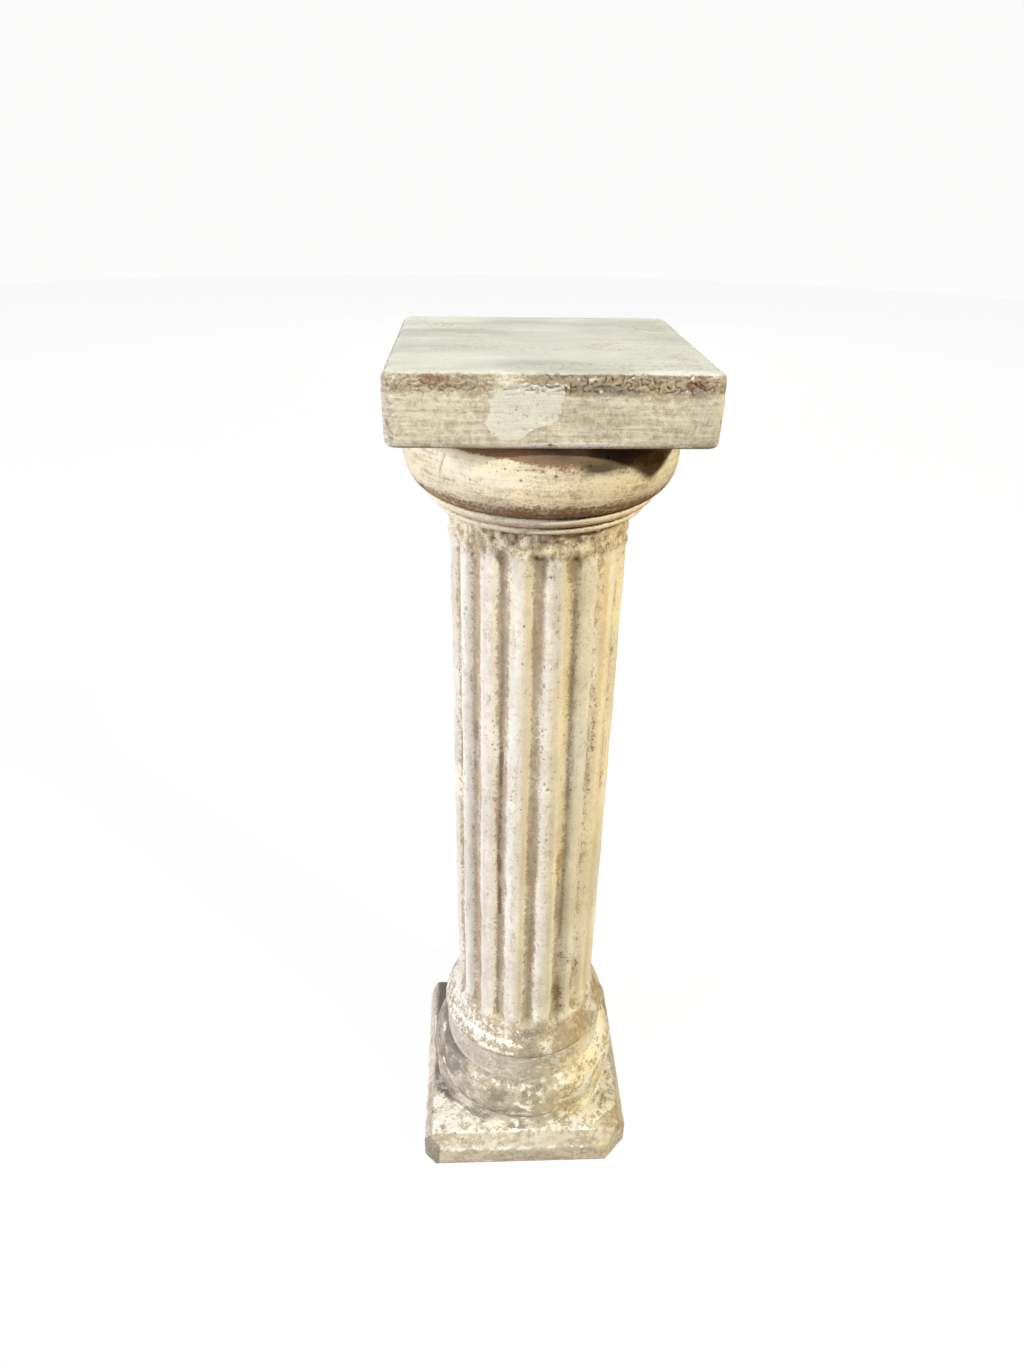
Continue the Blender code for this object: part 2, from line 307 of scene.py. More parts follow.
wear.relief -= 0.0004 * abs(wear.rough(0.030, 1)) + 0.0003 * abs(wear.rough(0.009, 2))
wear.relief -= 0.0006 * on_top * abs(wear.rough(0.012, 3))
wear.coat("wash_and_painted_light", 0.30 * painted_arris_highlight - 0.10 - 0.15 * on_top * wear.patches(0.03, 6, -0.3, 0.4))
wear.coat("lime_and_painted_highlight", 0.12 * (1 - on_top) * (z < PLINTH_BAND))
wear.coat("lime_and_painted_highlight", on_top * (0.46 + 0.36 * smooth(-0.1, 0.45, mottled)))
wear.coat("grime_and_painted_shade", 0.30 * on_top * smooth(0.1, -0.4, mottled) * smooth(0.11, -0.02, x) + 0.60 * darker_back_left)
wear.layers["lime_and_painted_highlight"] *= 1 - 0.8 * darker_back_left
wear.coat("grime_and_painted_shade", 0.38 * round_skirt * wear.patches(0.02, 4, -0.4, 0.3))
# Yellower towards the right: ochre with painted warm light in it.
wear.coat("ochre_and_painted_warm_light", 0.10 + 0.45 * smooth(0.0, 0.09, x) * wear.patches(0.025, 7, -0.5, 0.3))
wear.mark("grime_and_painted_shade", 0.60, 14, BACK_LEFT_DARKENING)
wear.mark("lime_and_painted_highlight", 0.8, 2.6, *LEFT_SPLASHES)
wear.mark("grime_and_painted_shade", 0.45, 6, FRONT_LEFT_STAIN, turns=QUARTERS)
wear.mark("grime_and_painted_shade", 0.50, 4.5, *CORNER_STAINS)
wear.mark("lime_and_painted_highlight", 0.20, 10, *CORNER_WASHES)
wear.coat("lime_and_painted_highlight", 0.9 * painted_arris_highlight * smooth(-0.35, 0.25, wear.rough(0.011, 9) + 0.5 * wear.rough(0.004, 10)))
wear.mark("rust_and_painted_shade", 0.45, 3.5, *SPLAY_RUST)
wear.coat("grime_and_painted_shade", 0.65 * wear.filled(LEFT_CLIP))
wear.layers["lime_and_painted_highlight"] *= 1 - wear.filled(LEFT_CLIP)
wear.layers["lime_and_painted_highlight"] *= 1 - wear.filled(RIGHT_CLIP)
wear.coat("ochre_and_painted_warm_light", 0.15 * wear.filled(RIGHT_CLIP))
wear.pit(3.0, *PLINTH_PITS, turns=QUARTERS)


def node(tree, kind, inputs=None, **settings):
    """Adds a shader node. An input is a socket to link or a value to set."""
    made = tree.nodes.new("ShaderNode" + kind)
    for name, value in settings.items():
        setattr(made, name, value)
    for name, value in (inputs or {}).items():
        socket = made.inputs[name]
        if isinstance(value, bpy.types.NodeSocket):
            tree.links.new(value, socket)
        else:
            socket.default_value = value
    return made


def speckle(tree, where, scale, detail=4.0, rough=0.55, twist=0.0):
    """A noise from 0 to 1 with its middle at a half."""
    made = node(
        tree,
        "TexNoise",
        {"Vector": where, "Scale": scale, "Detail": detail, "Roughness": rough, "Distortion": twist},
    )
    return made.outputs["Fac"]


def reckon(tree, operation, first, second, third=None, clamp=False):
    """A sum done in the shader with two or three numbers or sockets."""
    made = node(tree, "Math", {0: first, 1: second}, operation=operation, use_clamp=clamp)
    if third is not None:
        if isinstance(third, bpy.types.NodeSocket):
            tree.links.new(third, made.inputs[2])
        else:
            made.inputs[2].default_value = third
    return made.outputs[0]


def patchy(tree, amount, breakup, depth, low=0.42, high=0.58):
    """A mask with torn edges: the amount, broken up by a noise and made crisp."""
    shifted = reckon(tree, "MULTIPLY_ADD", reckon(tree, "SUBTRACT", breakup, 0.5), depth, amount)
    made = node(
        tree,
        "MapRange",
        {"Value": shifted, "From Min": low, "From Max": high},
        interpolation_type="SMOOTHSTEP",
    )
    return made.outputs[0]


def over(tree, share, under, upper, blend="MIX"):
    """The upper colour laid over the under one by a share from 0 to 1."""
    made = node(tree, "Mix", data_type="RGBA", clamp_factor=True, blend_type=blend)
    for socket, value in ((made.inputs[0], share), (made.inputs[6], under), (made.inputs[7], upper)):
        if isinstance(value, bpy.types.NodeSocket):
            tree.links.new(value, socket)
        else:
            socket.default_value = value if isinstance(value, float) else (*value, 1.0)
    return made.outputs[2]


CHALK = (0.93, 0.91, 0.87)
THICK_LIME_AND_HIGHLIGHT = (0.96, 0.95, 0.91)
CHALK_TINTED = (0.82, 0.75, 0.66)
BARE_STONE = (0.60, 0.50, 0.37)
BARE_DEEP = (0.43, 0.34, 0.24)
OCHRE_GLAZE_AND_WARM_LIGHT = (0.99, 0.88, 0.64)
RUST_AND_SHADE_BROWN = (0.28, 0.175, 0.10)
GRIME_AND_SHADE_GREY = (0.26, 0.235, 0.20)
HOLE_AND_SHADOW_DARK = (0.10, 0.075, 0.05)
AGED_GREY = (0.82, 0.82, 0.81)


def limewashed(name, chalk, tinted, bare_stone, streaks, torn=0.6, flake=150.0, lime_and_painted_highlight=THICK_LIME_AND_HIGHLIGHT):
    """Cast stone under a worn limewash, with ochre, rust, grime and holes where the layers put them, and
    painted shade and highlights too.
    The streaks are the brush marks' repeats in a metre each way, and a flake is a repeat of the torn
    paint's edge. Torn is how ragged the layers are."""
    material = bpy.data.materials.new(name)
    material.use_nodes = True
    tree = material.node_tree
    shader = tree.nodes["Principled BSDF"]
    where = node(tree, "TexCoord").outputs["Object"]
    layer = {
        layer_name: node(tree, "Attribute", attribute_name=layer_name, attribute_type="GEOMETRY").outputs["Fac"]
        for layer_name in LAYERS
    }
    clouds = speckle(tree, where, 24.0, 4.0)
    flakes = speckle(tree, where, flake, 8.0, 0.72, 0.5)
    grain = speckle(tree, where, 1000.0, 3.0, 0.6)
    brushed = node(tree, "Mapping", {"Vector": where, "Scale": streaks}).outputs[0]
    streak = speckle(tree, brushed, 1.0, 6.0, 0.65)
    bubbles = node(tree, "TexVoronoi", {"Vector": where, "Scale": 120.0})
    few = node(tree, "SeparateColor", {0: bubbles.outputs["Color"]}).outputs[0]
    width = node(tree, "MapRange", {"Value": few, "From Min": 0.80, "From Max": 1.0, "To Max": 0.13})
    pinhole = reckon(tree, "SUBTRACT", width.outputs[0], bubbles.outputs["Distance"])
    pinhole = reckon(tree, "MULTIPLY", pinhole, 12.0, clamp=True)
    bare = over(tree, patchy(tree, flakes, streak, 0.9, 0.3, 0.7), BARE_DEEP, bare_stone)
    mottle = reckon(tree, "MULTIPLY_ADD", streak, 0.9, reckon(tree, "MULTIPLY_ADD", clouds, 0.8, -0.35))
    white = over(tree, patchy(tree, mottle, flakes, 1.4, 0.25, 0.75), tinted, chalk)
    thick = reckon(tree, "MULTIPLY_ADD", streak, 0.7, layer["wash_and_painted_light"])
    thick = reckon(tree, "MULTIPLY_ADD", clouds, 0.7, thick)
    specks = speckle(tree, where, 2.6 * flake, 5.0, 0.75)
    specks = reckon(tree, "MULTIPLY_ADD", specks, 0.5, reckon(tree, "MULTIPLY", flakes, 0.5))
    colour = over(tree, patchy(tree, thick, specks, 4.0 * torn, 0.3, 0.7), bare, white)
    # Rust, grime and lime lay on painted shade and painted highlights here as well.
    for layer_name, tint in (("rust_and_painted_shade", RUST_AND_SHADE_BROWN), ("grime_and_painted_shade", GRIME_AND_SHADE_GREY), ("lime_and_painted_highlight", lime_and_painted_highlight)):
        amount = reckon(tree, "ADD", reckon(tree, "SUBTRACT", streak, 0.5), layer[layer_name])
        colour = over(tree, patchy(tree, amount, specks, 6.0 * torn, 0.35, 0.75), colour, tint)
    yellow = patchy(tree, reckon(tree, "MULTIPLY_ADD", clouds, 0.4, layer["ochre_and_painted_warm_light"]), flakes, 0.8, 0.2, 1.0)
    colour = over(tree, yellow, colour, OCHRE_GLAZE_AND_WARM_LIGHT, "MULTIPLY")
    colour = over(tree, layer["film"], colour, GRIME_AND_SHADE_GREY)
    drifting = node(tree, "Mapping", {"Vector": where, "Scale": (9.0, 14.0, 14.0)}).outputs[0]
    drift = speckle(tree, drifting, 1.0, 4.0)
    colour = over(tree, patchy(tree, 0.5, drift, 3.0, 0.0, 1.0), colour, AGED_GREY, "MULTIPLY")
    fine = reckon(tree, "MULTIPLY", reckon(tree, "SUBTRACT", grain, 0.5), 1.6, clamp=True)
    colour = over(tree, fine, colour, BARE_DEEP)
    hole_and_painted_shadow = reckon(tree, "MAXIMUM", reckon(tree, "MULTIPLY", layer["hole_and_painted_shadow"], 0.9, clamp=True), pinhole)
    colour = over(tree, hole_and_painted_shadow, colour, HOLE_AND_SHADOW_DARK)
    tree.links.new(colour, shader.inputs["Base Color"])
    dull = node(tree, "MapRange", {"Value": flakes, "To Min": 0.72, "To Max": 0.96}).outputs[0]
    tree.links.new(dull, shader.inputs["Roughness"])
    height = reckon(tree, "MULTIPLY_ADD", flakes, 0.8, reckon(tree, "MULTIPLY", grain, 0.30))
    height = reckon(tree, "MULTIPLY_ADD", streak, 0.6, height)
    height = reckon(tree, "MULTIPLY_ADD", pinhole, -0.6, height)
    relief = node(tree, "Bump", {"Strength": 0.9, "Distance": 0.0016, "Height": height})
    tree.links.new(relief.outputs[0], shader.inputs["Normal"])
    return material


TAN_WASH = (0.76, 0.705, 0.615)
TAN_TINTED = (0.55, 0.49, 0.41)
BLOTCHES = (60.0, 60.0, 90.0)
blotched_wash = limewashed("blotched_whitewash", TAN_WASH, TAN_TINTED, BARE_DEEP, BLOTCHES, 0.5, 190.0)
wear.set_down(blotched_wash)
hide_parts("fluted_column")

# The base is turned: a skirt, a torus and a plain neck, run in the mould above the plinth.
# It is the same casting, and its skirt runs down into the plinth.
SHAFT_FOOT_RADIUS = 0.0795
SKIRT_RISE = 0.0194
SKIRT_OUT = 0.0300
SKIRT_TOP_OUT = 0.0250
TORUS_RISE = 0.0500
TORUS_OUT = 0.0300
NECK_RISE = 0.0420
NECK_OUT = 0.0140
ROW_GAP = 0.6
BASE_CELL = 0.0013
BASE_COLUMNS = 512
BED_OVERLAP = 0.0100
CURVE_ROWS = 24
SECTORS = 64


def bulge(foot, top, out):
    """A half round from foot to top, each a (radius, height), standing out by out."""
    points = []
    for step in range(1, CURVE_ROWS):
        turn = math.pi * step / CURVE_ROWS
        share = (1 - math.cos(turn)) / 2
        radius = foot[0] + (top[0] - foot[0]) * share + out * math.sin(turn)
        points.append((radius, foot[1] + (top[1] - foot[1]) * share))
    return points


def quarter(start, end, upright_start):
    """A quarter of an ellipse from start to end, upright at one end and level at the other."""
    points = []
    for step in range(1, CURVE_ROWS):
        turn = math.pi / 2 * step / CURVE_ROWS
        across, along = math.sin(turn), 1 - math.cos(turn)
        if upright_start:
            across, along = 1 - math.cos(turn), math.sin(turn)
        points.append((start[0] + (end[0] - start[0]) * across, start[1] + (end[1] - start[1]) * along))
    return points


def turned(name, outline, columns, cell):
    """A closed round piece spun from an outline, in rows about a cell apart."""
    rows = [outline[0]]
    for start, end in zip(outline, outline[1:]):
        steps = max(1, round(math.dist(start, end) / cell))
        for step in range(1, steps + 1):
            share = step / steps
            rows.append((start[0] + (end[0] - start[0]) * share, start[1] + (end[1] - start[1]) * share))
    gap = cell * ROW_GAP
    sector = 2 * math.pi / SECTORS
    kept = [rows[0]]
    for row in rows[1:-1]:
        if math.dist(row, kept[-1]) > gap:
            kept.append(row)
    kept.append(rows[-1])
    shape = bmesh.new()
    line = [(0.0, kept[0][1])] + kept + [(0.0, kept[-1][1])]
    verts = [shape.verts.new((radius, 0.0, height)) for radius, height in line]
    edges = [shape.edges.new(pair) for pair in zip(verts, verts[1:])]
    bmesh.ops.spin(
        shape,
        geom=verts + edges,
        axis=(0.0, 0.0, 1.0),
        cent=(0.0, 0.0, 0.0),
        steps=SECTORS,
        angle=2 * math.pi,
        use_merge=True,
    )
    rings = [edge for edge in shape.edges if abs(edge.verts[0].co.z - edge.verts[1].co.z) < TOUCHING]
    rings = [edge for edge in rings if min(vert.co.xy.length for vert in edge.verts) > gap]
    rings = [edge for edge in rings if edge.calc_length() > 0.5 * edge.verts[0].co.xy.length * sector]
    bmesh.ops.subdivide_edges(shape, edges=rings, cuts=columns // SECTORS - 1, use_grid_fill=True)
    for vert in shape.verts:
        past = math.atan2(vert.co.y, vert.co.x) % sector
        vert.co.xy *= math.cos(past - sector / 2) / math.cos(sector / 2)
    return casting(name, shape)


skirt_foot = (SHAFT_FOOT_RADIUS + SKIRT_OUT, PLINTH_TOP)
skirt_top = (SHAFT_FOOT_RADIUS + SKIRT_TOP_OUT, PLINTH_TOP + SKIRT_RISE)
neck_foot = (SHAFT_FOOT_RADIUS + NECK_OUT, skirt_top[1] + TORUS_RISE)
neck_top = (SHAFT_FOOT_RADIUS + NECK_OUT, neck_foot[1] + NECK_RISE)
torus_out = SHAFT_FOOT_RADIUS + TORUS_OUT - (skirt_top[0] + neck_foot[0]) / 2
outline = [(skirt_foot[0], PLINTH_TOP - BED_OVERLAP), skirt_foot]
outline += quarter(skirt_foot, skirt_top, False) + [skirt_top]
outline += bulge(skirt_top, neck_foot, torus_out) + [neck_foot, neck_top]
base = turned("base_mouldings", outline, BASE_COLUMNS, BASE_CELL)
BASE_PITS = [(511.4, 1085.6), (489, 1065), (531, 1071), (556, 1078), (473, 1077), (579, 1077.5), (547, 1102)]
SKIRT_LEFT_STAIN = [(449, 1032), (452, 1050), (464, 1068)]
SKIRT_FRONT_STAIN = [(442.5, 1053), (461, 1073), (479, 1084), (500, 1096)]
DARK_PATCH = [(528, 1091), (540, 1088)]
TORUS_RUST = [[(523, 1097)], [(573.4, 1065)], [(591.8, 1057)], [(586, 1068)]]
SKIRT_RUST = [(495, 1122), (518, 1125), (545, 1123)]
TORUS_WHITES = [[(493, 1081), (498, 1083)], [(529, 1095)], [(518, 1104), (530, 1110)]]

wear = Wear(base, [[place] for place in BASE_PITS])
x, y, z = wear.points.T
torus = smooth(skirt_top[1] - 0.004, skirt_top[1] + 0.01, z)
torus = torus * smooth(neck_foot[1] + 0.004, neck_foot[1] - 0.004, z)
below = smooth(neck_foot[1] + 0.003, neck_foot[1] - 0.003, z)
skirt = smooth(skirt_top[1], PLINTH_TOP, z)
left = smooth(0.10, -0.03, x)
seams = near_to(skirt_top[1], 0.0035, z) + near_to(neck_foot[1], 0.003, z)
mottled = wear.rough(0.008, 14, (1.6, 1.6, 1)) + 0.6 * wear.rough(0.0035, 19, (1.6, 1.6, 1))

wear.relief += 0.0005 * wear.rough(0.035, 11) + 0.0002 * wear.rough(0.010, 12)
wear.relief += 0.0005 * torus * wear.rough(0.007, 13)
wear.coat("wash_and_painted_light", 0.10 - below * (0.10 + 0.20 * wear.patches(0.03, 16, -0.3, 0.4)))
wear.coat("lime_and_painted_highlight", 0.36 * (1 - below))
wear.coat("lime_and_painted_highlight", below * (0.16 + 0.50 * smooth(0.0, 0.55, mottled)) * (0.4 + 0.6 * smooth(-0.11, 0.0, x)))
# Whiter and yellower towards the right: lime and ochre with painted warm light in them.
wear.coat("lime_and_painted_highlight", 0.38 * smooth(0.0, 0.08, x))
wear.coat("grime_and_painted_shade", 0.40 * seams + below * left * (0.18 + 0.25 * smooth(0.2, -0.4, mottled)))
wear.coat("grime_and_painted_shade", 0.28 * smooth(0.05, -0.08, x) * torus * wear.patches(0.025, 15, -0.4, 0.2))
wear.coat("grime_and_painted_shade", 0.45 * skirt * left * wear.patches(0.02, 18, -0.4, 0.3))
wear.coat("ochre_and_painted_warm_light", 0.15 + 0.70 * smooth(-0.02, 0.08, x) * wear.patches(0.02, 17, -0.6, 0.2))
wear.mark("grime_and_painted_shade", 0.25, 9, SKIRT_LEFT_STAIN)
wear.mark("grime_and_painted_shade", 0.22, 9, SKIRT_FRONT_STAIN)
wear.mark("grime_and_painted_shade", 0.40, 10, DARK_PATCH, turns=(0, 110, 240))
wear.mark("rust_and_painted_shade", 0.50, 4, *TORUS_RUST, turns=(0, 90, 170, 260))
wear.mark("rust_and_painted_shade", 0.30, 4, SKIRT_RUST, turns=(0, 150))
wear.mark("lime_and_painted_highlight", 0.50, 4, *TORUS_WHITES, turns=(0, 75, 200, 300))
wear.pit(2.8, *BASE_PITS, turns=(0, 80, 160, 250))
wear.set_down(blotched_wash)
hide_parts("fluted_column")

# The shaft has sixteen flutes between flat fillets. They run out into a flared foot with a thin lip.
# Hand-finished plaster has softened every arris and left the upper ends of the flutes ragged.
SHAFT_TOP_RADIUS = 0.0779
SHAFT_LENGTH = 0.5460
LIP_RISE = 0.0030
OGEE_RISE = 0.0650
OGEE_OUT = 0.0160
OGEE_BIAS = 0.6
CAVETTO_RISE = 0.0185
CAVETTO_OUT = 0.0085
FLUTES = 16
FLUTE_DEPTH = 0.0055
FLUTE_END = 0.0090
FLUTE_INTO_FOOT = 0.0280
FLUTE_BELOW_TOP = 0.0030
FLUTE_SHARE = 0.62
FLUTE_TURN = math.radians(-3.0)
FLUTE_SOFTENING = (-0.09, -0.045, 0, 0.045, 0.09)
SHAFT_COLUMNS = 384
SHAFT_CELL = 0.0028

lip = (SHAFT_FOOT_RADIUS + OGEE_OUT, neck_top[1] + LIP_RISE)
shaft_foot = (SHAFT_FOOT_RADIUS, lip[1] + OGEE_RISE)
shaft_top = (SHAFT_TOP_RADIUS, shaft_foot[1] + SHAFT_LENGTH)
cavetto_top = (SHAFT_TOP_RADIUS + CAVETTO_OUT, shaft_top[1] + CAVETTO_RISE)
outline = [neck_top] + quarter(neck_top, lip, False) + [lip]
for step in range(1, CURVE_ROWS):
    share = step / CURVE_ROWS
    inward = (1 - math.cos(math.pi * share**OGEE_BIAS)) / 2
    outline.append((lip[0] + (shaft_foot[0] - lip[0]) * inward, lip[1] + OGEE_RISE * share))
outline += [shaft_foot, shaft_top] + quarter(shaft_top, cavetto_top, True) + [cavetto_top]
shaft = turned("fluted_shaft", outline, SHAFT_COLUMNS, SHAFT_CELL)
SHAFT_PITS = [
    (463.9, 590.7), (464, 602), (464.2, 614), (464.2, 617.5), (472.7, 553), (475.7, 559.4), (473.7, 567),
    (477.8, 575.7), (524.2, 626.7), (524.7, 637), (522.1, 664.5), (551, 577.8), (565.5, 600), (577, 617),
    (600.7, 578.8), (608.9, 662.4), (603.3, 675.7), (495.6, 692.8), (493, 721), (494.5, 726), (493.5, 733),
    (496, 738), (492.5, 745), (495, 750), (520, 732), (519.5, 741), (518.5, 762), (521, 772), (516, 795),
    (521.6, 799), (521, 810), (542.5, 730), (545.6, 730), (543.6, 759.6), (544.6, 784.6), (460.9, 849.4),
    (546, 835), (546.6, 840.4), (542.5, 873.3), (545, 903), (562.4, 829.7), (572, 830), (566.5, 826),
    (590.5, 848.6), (595.6, 886), (583.9, 931.7), (553.9, 1010),
]
DEEP_PITS = [(547.7, 790.7), (543, 1049)]
SIXTHS = (0, 67.5, 135, 202.5, 270, 315)

wear = Wear(shaft, [[place] for place in SHAFT_PITS + DEEP_PITS[:1]])
x, y, z = wear.points.T
radius = np.hypot(x, y)
pitch = 2 * math.pi / FLUTES
turn = (np.arctan2(x, -y) - FLUTE_TURN) / pitch
flute = np.round(turn)
wander = 0.022 * np.array([noise.noise(Vector((a * 3.7, b * 14.0, 0))) for a, b in zip(flute, z)])
lean = (0.17 * (flute == 1) + 0.10 * (flute == 0)) * smooth(0.75, 0.25, z)
phase = turn - flute + wander - lean
ragged = np.array([noise.noise(Vector((a * 2.9, 8.3, 0))) for a in flute])
low = shaft_foot[1] - FLUTE_INTO_FOOT + 0.002 * ragged
high = shaft_top[1] - FLUTE_BELOW_TOP - 0.012 * abs(ragged)
from_end = np.minimum(z - low, high - z + 0.0045 * wear.rough(0.008, 30))
ending = 1 - np.clip(from_end / FLUTE_END, 0, 1)
across = [abs(phase + step) / (FLUTE_SHARE / 2) for step in FLUTE_SOFTENING]
hollow = sum(np.clip(1 - share**2, 0, 1) ** 0.8 for share in across) / len(across)
plastered = 1 - 0.25 * (flute == 2) - 0.50 * (flute == 3) * smooth(0.65, 0.35, z)
surface = SHAFT_FOOT_RADIUS + (SHAFT_TOP_RADIUS - SHAFT_FOOT_RADIUS) * (z - shaft_foot[1]) / SHAFT_LENGTH
depth = np.maximum(radius - surface + FLUTE_DEPTH, 0) * np.sqrt(1 - ending**2) * hollow * plastered
inward = 1 - depth / np.maximum(radius, TOUCHING)
wear.points[:, 0] *= inward
wear.points[:, 1] *= inward
shaft.data.vertices.foreach_set("co", wear.points.ravel())
shaft.data.update()

LEFT_EDGE_HIGHLIGHT = [(461, 575), (461, 700), (463, 900), (462, 960)]
FIRST_FLUTE_SHADE = [(474.5, 585), (474.5, 700), (476, 780), (475, 860), (477.8, 904)]
FIRST_FLUTE_LOW_SHADE = [(479, 930), (480, 970)]
FIRST_FLUTE_DIRT = [[(477, 723), (477, 737)], [(471, 553), (476, 566)]]
FIRST_RIDGE_HIGHLIGHT = [(490, 569), (488, 600), (486, 700), (487, 860), (489, 950), (493, 1010)]
SECOND_FLUTE_HIGH_SHADE = [[(501, 558), (501.5, 690)], [(485, 973), (481, 1000)]]
SECOND_FLUTE_SHADE = [(502, 700), (501.5, 757), (501, 782), (499.5, 830), (498, 861)]
SECOND_FLUTE_LOW_SHADE = [(498, 861), (499, 912), (498.7, 975)]
SECOND_FLUTE_RUST = [[(501.5, 755), (501, 785)], [(500, 861), (499.5, 871)], [(500, 889), (500, 912)]]
SECOND_RIDGE_HIGHLIGHT = [(516, 578), (516, 680), (513, 730), (512, 800), (508, 900), (507.5, 940), (510.5, 1015)]
CREAM_WALL_WARM_LIGHT = [(529.5, 600), (529, 690), (527, 760), (523, 850), (519, 955), (518, 1010)]
CREAM_LINE_WARM_LIGHT = [(529.5, 570), (529, 690), (527, 760), (524, 850), (520, 955), (519, 1010)]
MIDDLE_FLUTE_SHADE = [(543, 560), (543.5, 690), (541, 760), (538, 830), (533, 900), (530, 960), (528, 1020)]
THIRD_RIDGE_HIGHLIGHT = [(550, 585), (549.5, 690), (546, 790), (544, 900), (543, 960), (542, 1008)]
THIRD_FILLET = [(556, 680), (555, 760), (552, 860), (549, 940), (548, 1000)]
BAND_WALL_WARM_LIGHT = [(568, 585), (567, 640), (565, 690), (562, 760), (560, 807), (559, 850)]
OCHRE_BAND_WARM_LIGHT = [(568, 565), (567, 640), (565, 690), (562, 760), (560, 807), (557, 880)]
GREY_BAND_SHADE = [(574, 600), (571, 690), (567.5, 760), (566, 830), (561, 907), (559, 937)]
RIGHT_PANEL_WARM_LIGHT = [(606, 570), (604, 690), (600, 760), (595, 830), (588, 920), (585, 990)]
RIGHT_THREADS = [[(603, 772), (602, 812)], [(594, 600), (594, 680)]]
RIGHT_EDGE_WARM_LIGHT = [(622, 570), (614, 700), (609, 760), (600, 850), (592, 940)]
WHITE_DABS = [[(489.5, 569.6), (493, 573.7)], [(485, 932)], [(605, 734)]]
NECK_DABS = [[(550.5, 558)], [(551.7, 565)], [(550, 570)], [(550.7, 575)], [(490, 569.6), (493, 573.7)]]
GREY_SPOTS = [[(545, 560), (545, 574)], [(558, 618)], [(565, 957), (565, 969)]]
GREY_FOOT = [[(556, 978), (556, 1017)], [(558, 1048)]]
LIP_DIRT = [[(455, 982.5)], [(451.7, 1004)], [(461, 997.5)], [(477, 997), (480, 1010)]]
HIGH_RUST = [[(593, 686), (597, 705)], [(594, 711), (592, 751)], [(585, 688)]]
LOW_RUST = [[(589, 764), (588, 792)], [(585, 804), (584, 823)], [(579, 835), (576, 880)]]
FOOT_RUST = [[(563, 955), (577, 962)], [(556, 985), (562, 1008)], [(583, 968)]]
BROAD_RUST = [[(580, 1000), (582, 1020)], [(598, 552), (607, 552)], [(617, 584), (617, 603)]]
RUST_SPOTS = [[(562, 1030.8)], [(575.7, 1021.6)], [(584.9, 1014)], [(481, 961), (481, 974.5)]]
FOOT_LIME = [(454, 1005.5), (475, 1028), (500, 1041), (521.8, 1046.8)]
LIP_LIME = [(453, 1014.7), (457.5, 1026), (483.9, 1045.7), (512.6, 1054.9)]
LIP_OCHRE = [(547, 1056), (575.7, 1040), (587, 1028.5)]

in_flute = depth / FLUTE_DEPTH
wear = Wear(shaft)
painted_arris_highlight = near_to(FLUTE_SHARE / 2, 0.045, abs(phase)) * smooth(0, 0.01, from_end)
ends = smooth(high - 0.012, high + 0.004, z)
foot = smooth(shaft_foot[1] - 0.01, shaft_foot[1] - 0.04, z)
lumps = wear.rough(0.009, 23)
speckled = wear.patches(0.006, 28, 0.2, -0.4, (1, 1, 1.5))

wear.relief += 0.0004 * wear.rough(0.045, 21) + 0.0004 * wear.rough(0.011, 22, (1, 1, 2))
wear.relief += 0.00022 * wear.rough(0.005, 20, (1, 1, 1.5))
wear.relief += (0.0030 * ends + 0.0004 * foot) * lumps + 0.0014 * ends * wear.rough(0.005, 26)
# The flute hollows are bared and browned, dirt with painted shade, and the arrises get a painted highlight.
wear.coat("wash_and_painted_light", 0.20 * painted_arris_highlight + 0.10 * (1 - in_flute) - 0.42 * smooth(0.3, 1.0, in_flute))
wear.coat("wash_and_painted_light", -(0.35 * ends + 0.50 * foot) * wear.patches(0.02, 27, -0.7, 0.2))
wear.coat("rust_and_painted_shade", 0.30 * smooth(0.5, 1.0, in_flute) * wear.patches(0.03, 24, -0.4, 0.4, (1, 1, 4)))
wear.coat("rust_and_painted_shade", ends * (0.50 * smooth(-0.05, -0.5, lumps) + 0.34 * smooth(0.02, 0.06, x)))
wear.coat("grime_and_painted_shade", 0.10 + 0.16 * wear.rough(0.02, 25, (1, 1, 4)))
wear.coat("lime_and_painted_highlight", 0.48 * foot * smooth(0.02, -0.06, x))
wear.coat("grime_and_painted_shade", 0.20 * foot * smooth(0.04, 0.0, abs(x)))
wear.coat("grime_and_painted_shade", foot * (0.12 + 0.30 * speckled) * smooth(0.1, -0.03, x))
# Lighter and yellower towards the right: wash and ochre with painted warm light in them.
wear.coat("wash_and_painted_light", 0.20 * smooth(0.03, 0.07, x) * (1 - ends) * (1 - foot))
wear.coat("ochre_and_painted_warm_light", 0.12 + 0.45 * smooth(0.0, 0.075, x) * wear.patches(0.03, 29, -0.6, 0.2, (1, 1, 3)))
wear.coat("ochre_and_painted_warm_light", 0.25 * ends)
# White ridges and the left edge: lime with a painted highlight, as from the light on the left.
wear.mark("lime_and_painted_highlight", 0.75, 5, SECOND_RIDGE_HIGHLIGHT, turns=SIXTHS)
wear.mark("lime_and_painted_highlight", 0.35, 9, LEFT_EDGE_HIGHLIGHT)
wear.mark("lime_and_painted_highlight", 0.40, 6, FIRST_RIDGE_HIGHLIGHT, turns=(0, 180))
wear.mark("lime_and_painted_highlight", 0.45, 4.5, THIRD_RIDGE_HIGHLIGHT, turns=(0, 157.5))
wear.mark("lime_and_painted_highlight", 0.80, 3, *WHITE_DABS, turns=(0, 112.5))
# A painted warm highlight down the right edge.
wear.mark("lime_and_painted_highlight", 0.80, 7, RIGHT_EDGE_WARM_LIGHT)
wear.mark("lime_and_painted_highlight", 0.35, 2.5, *RIGHT_THREADS)
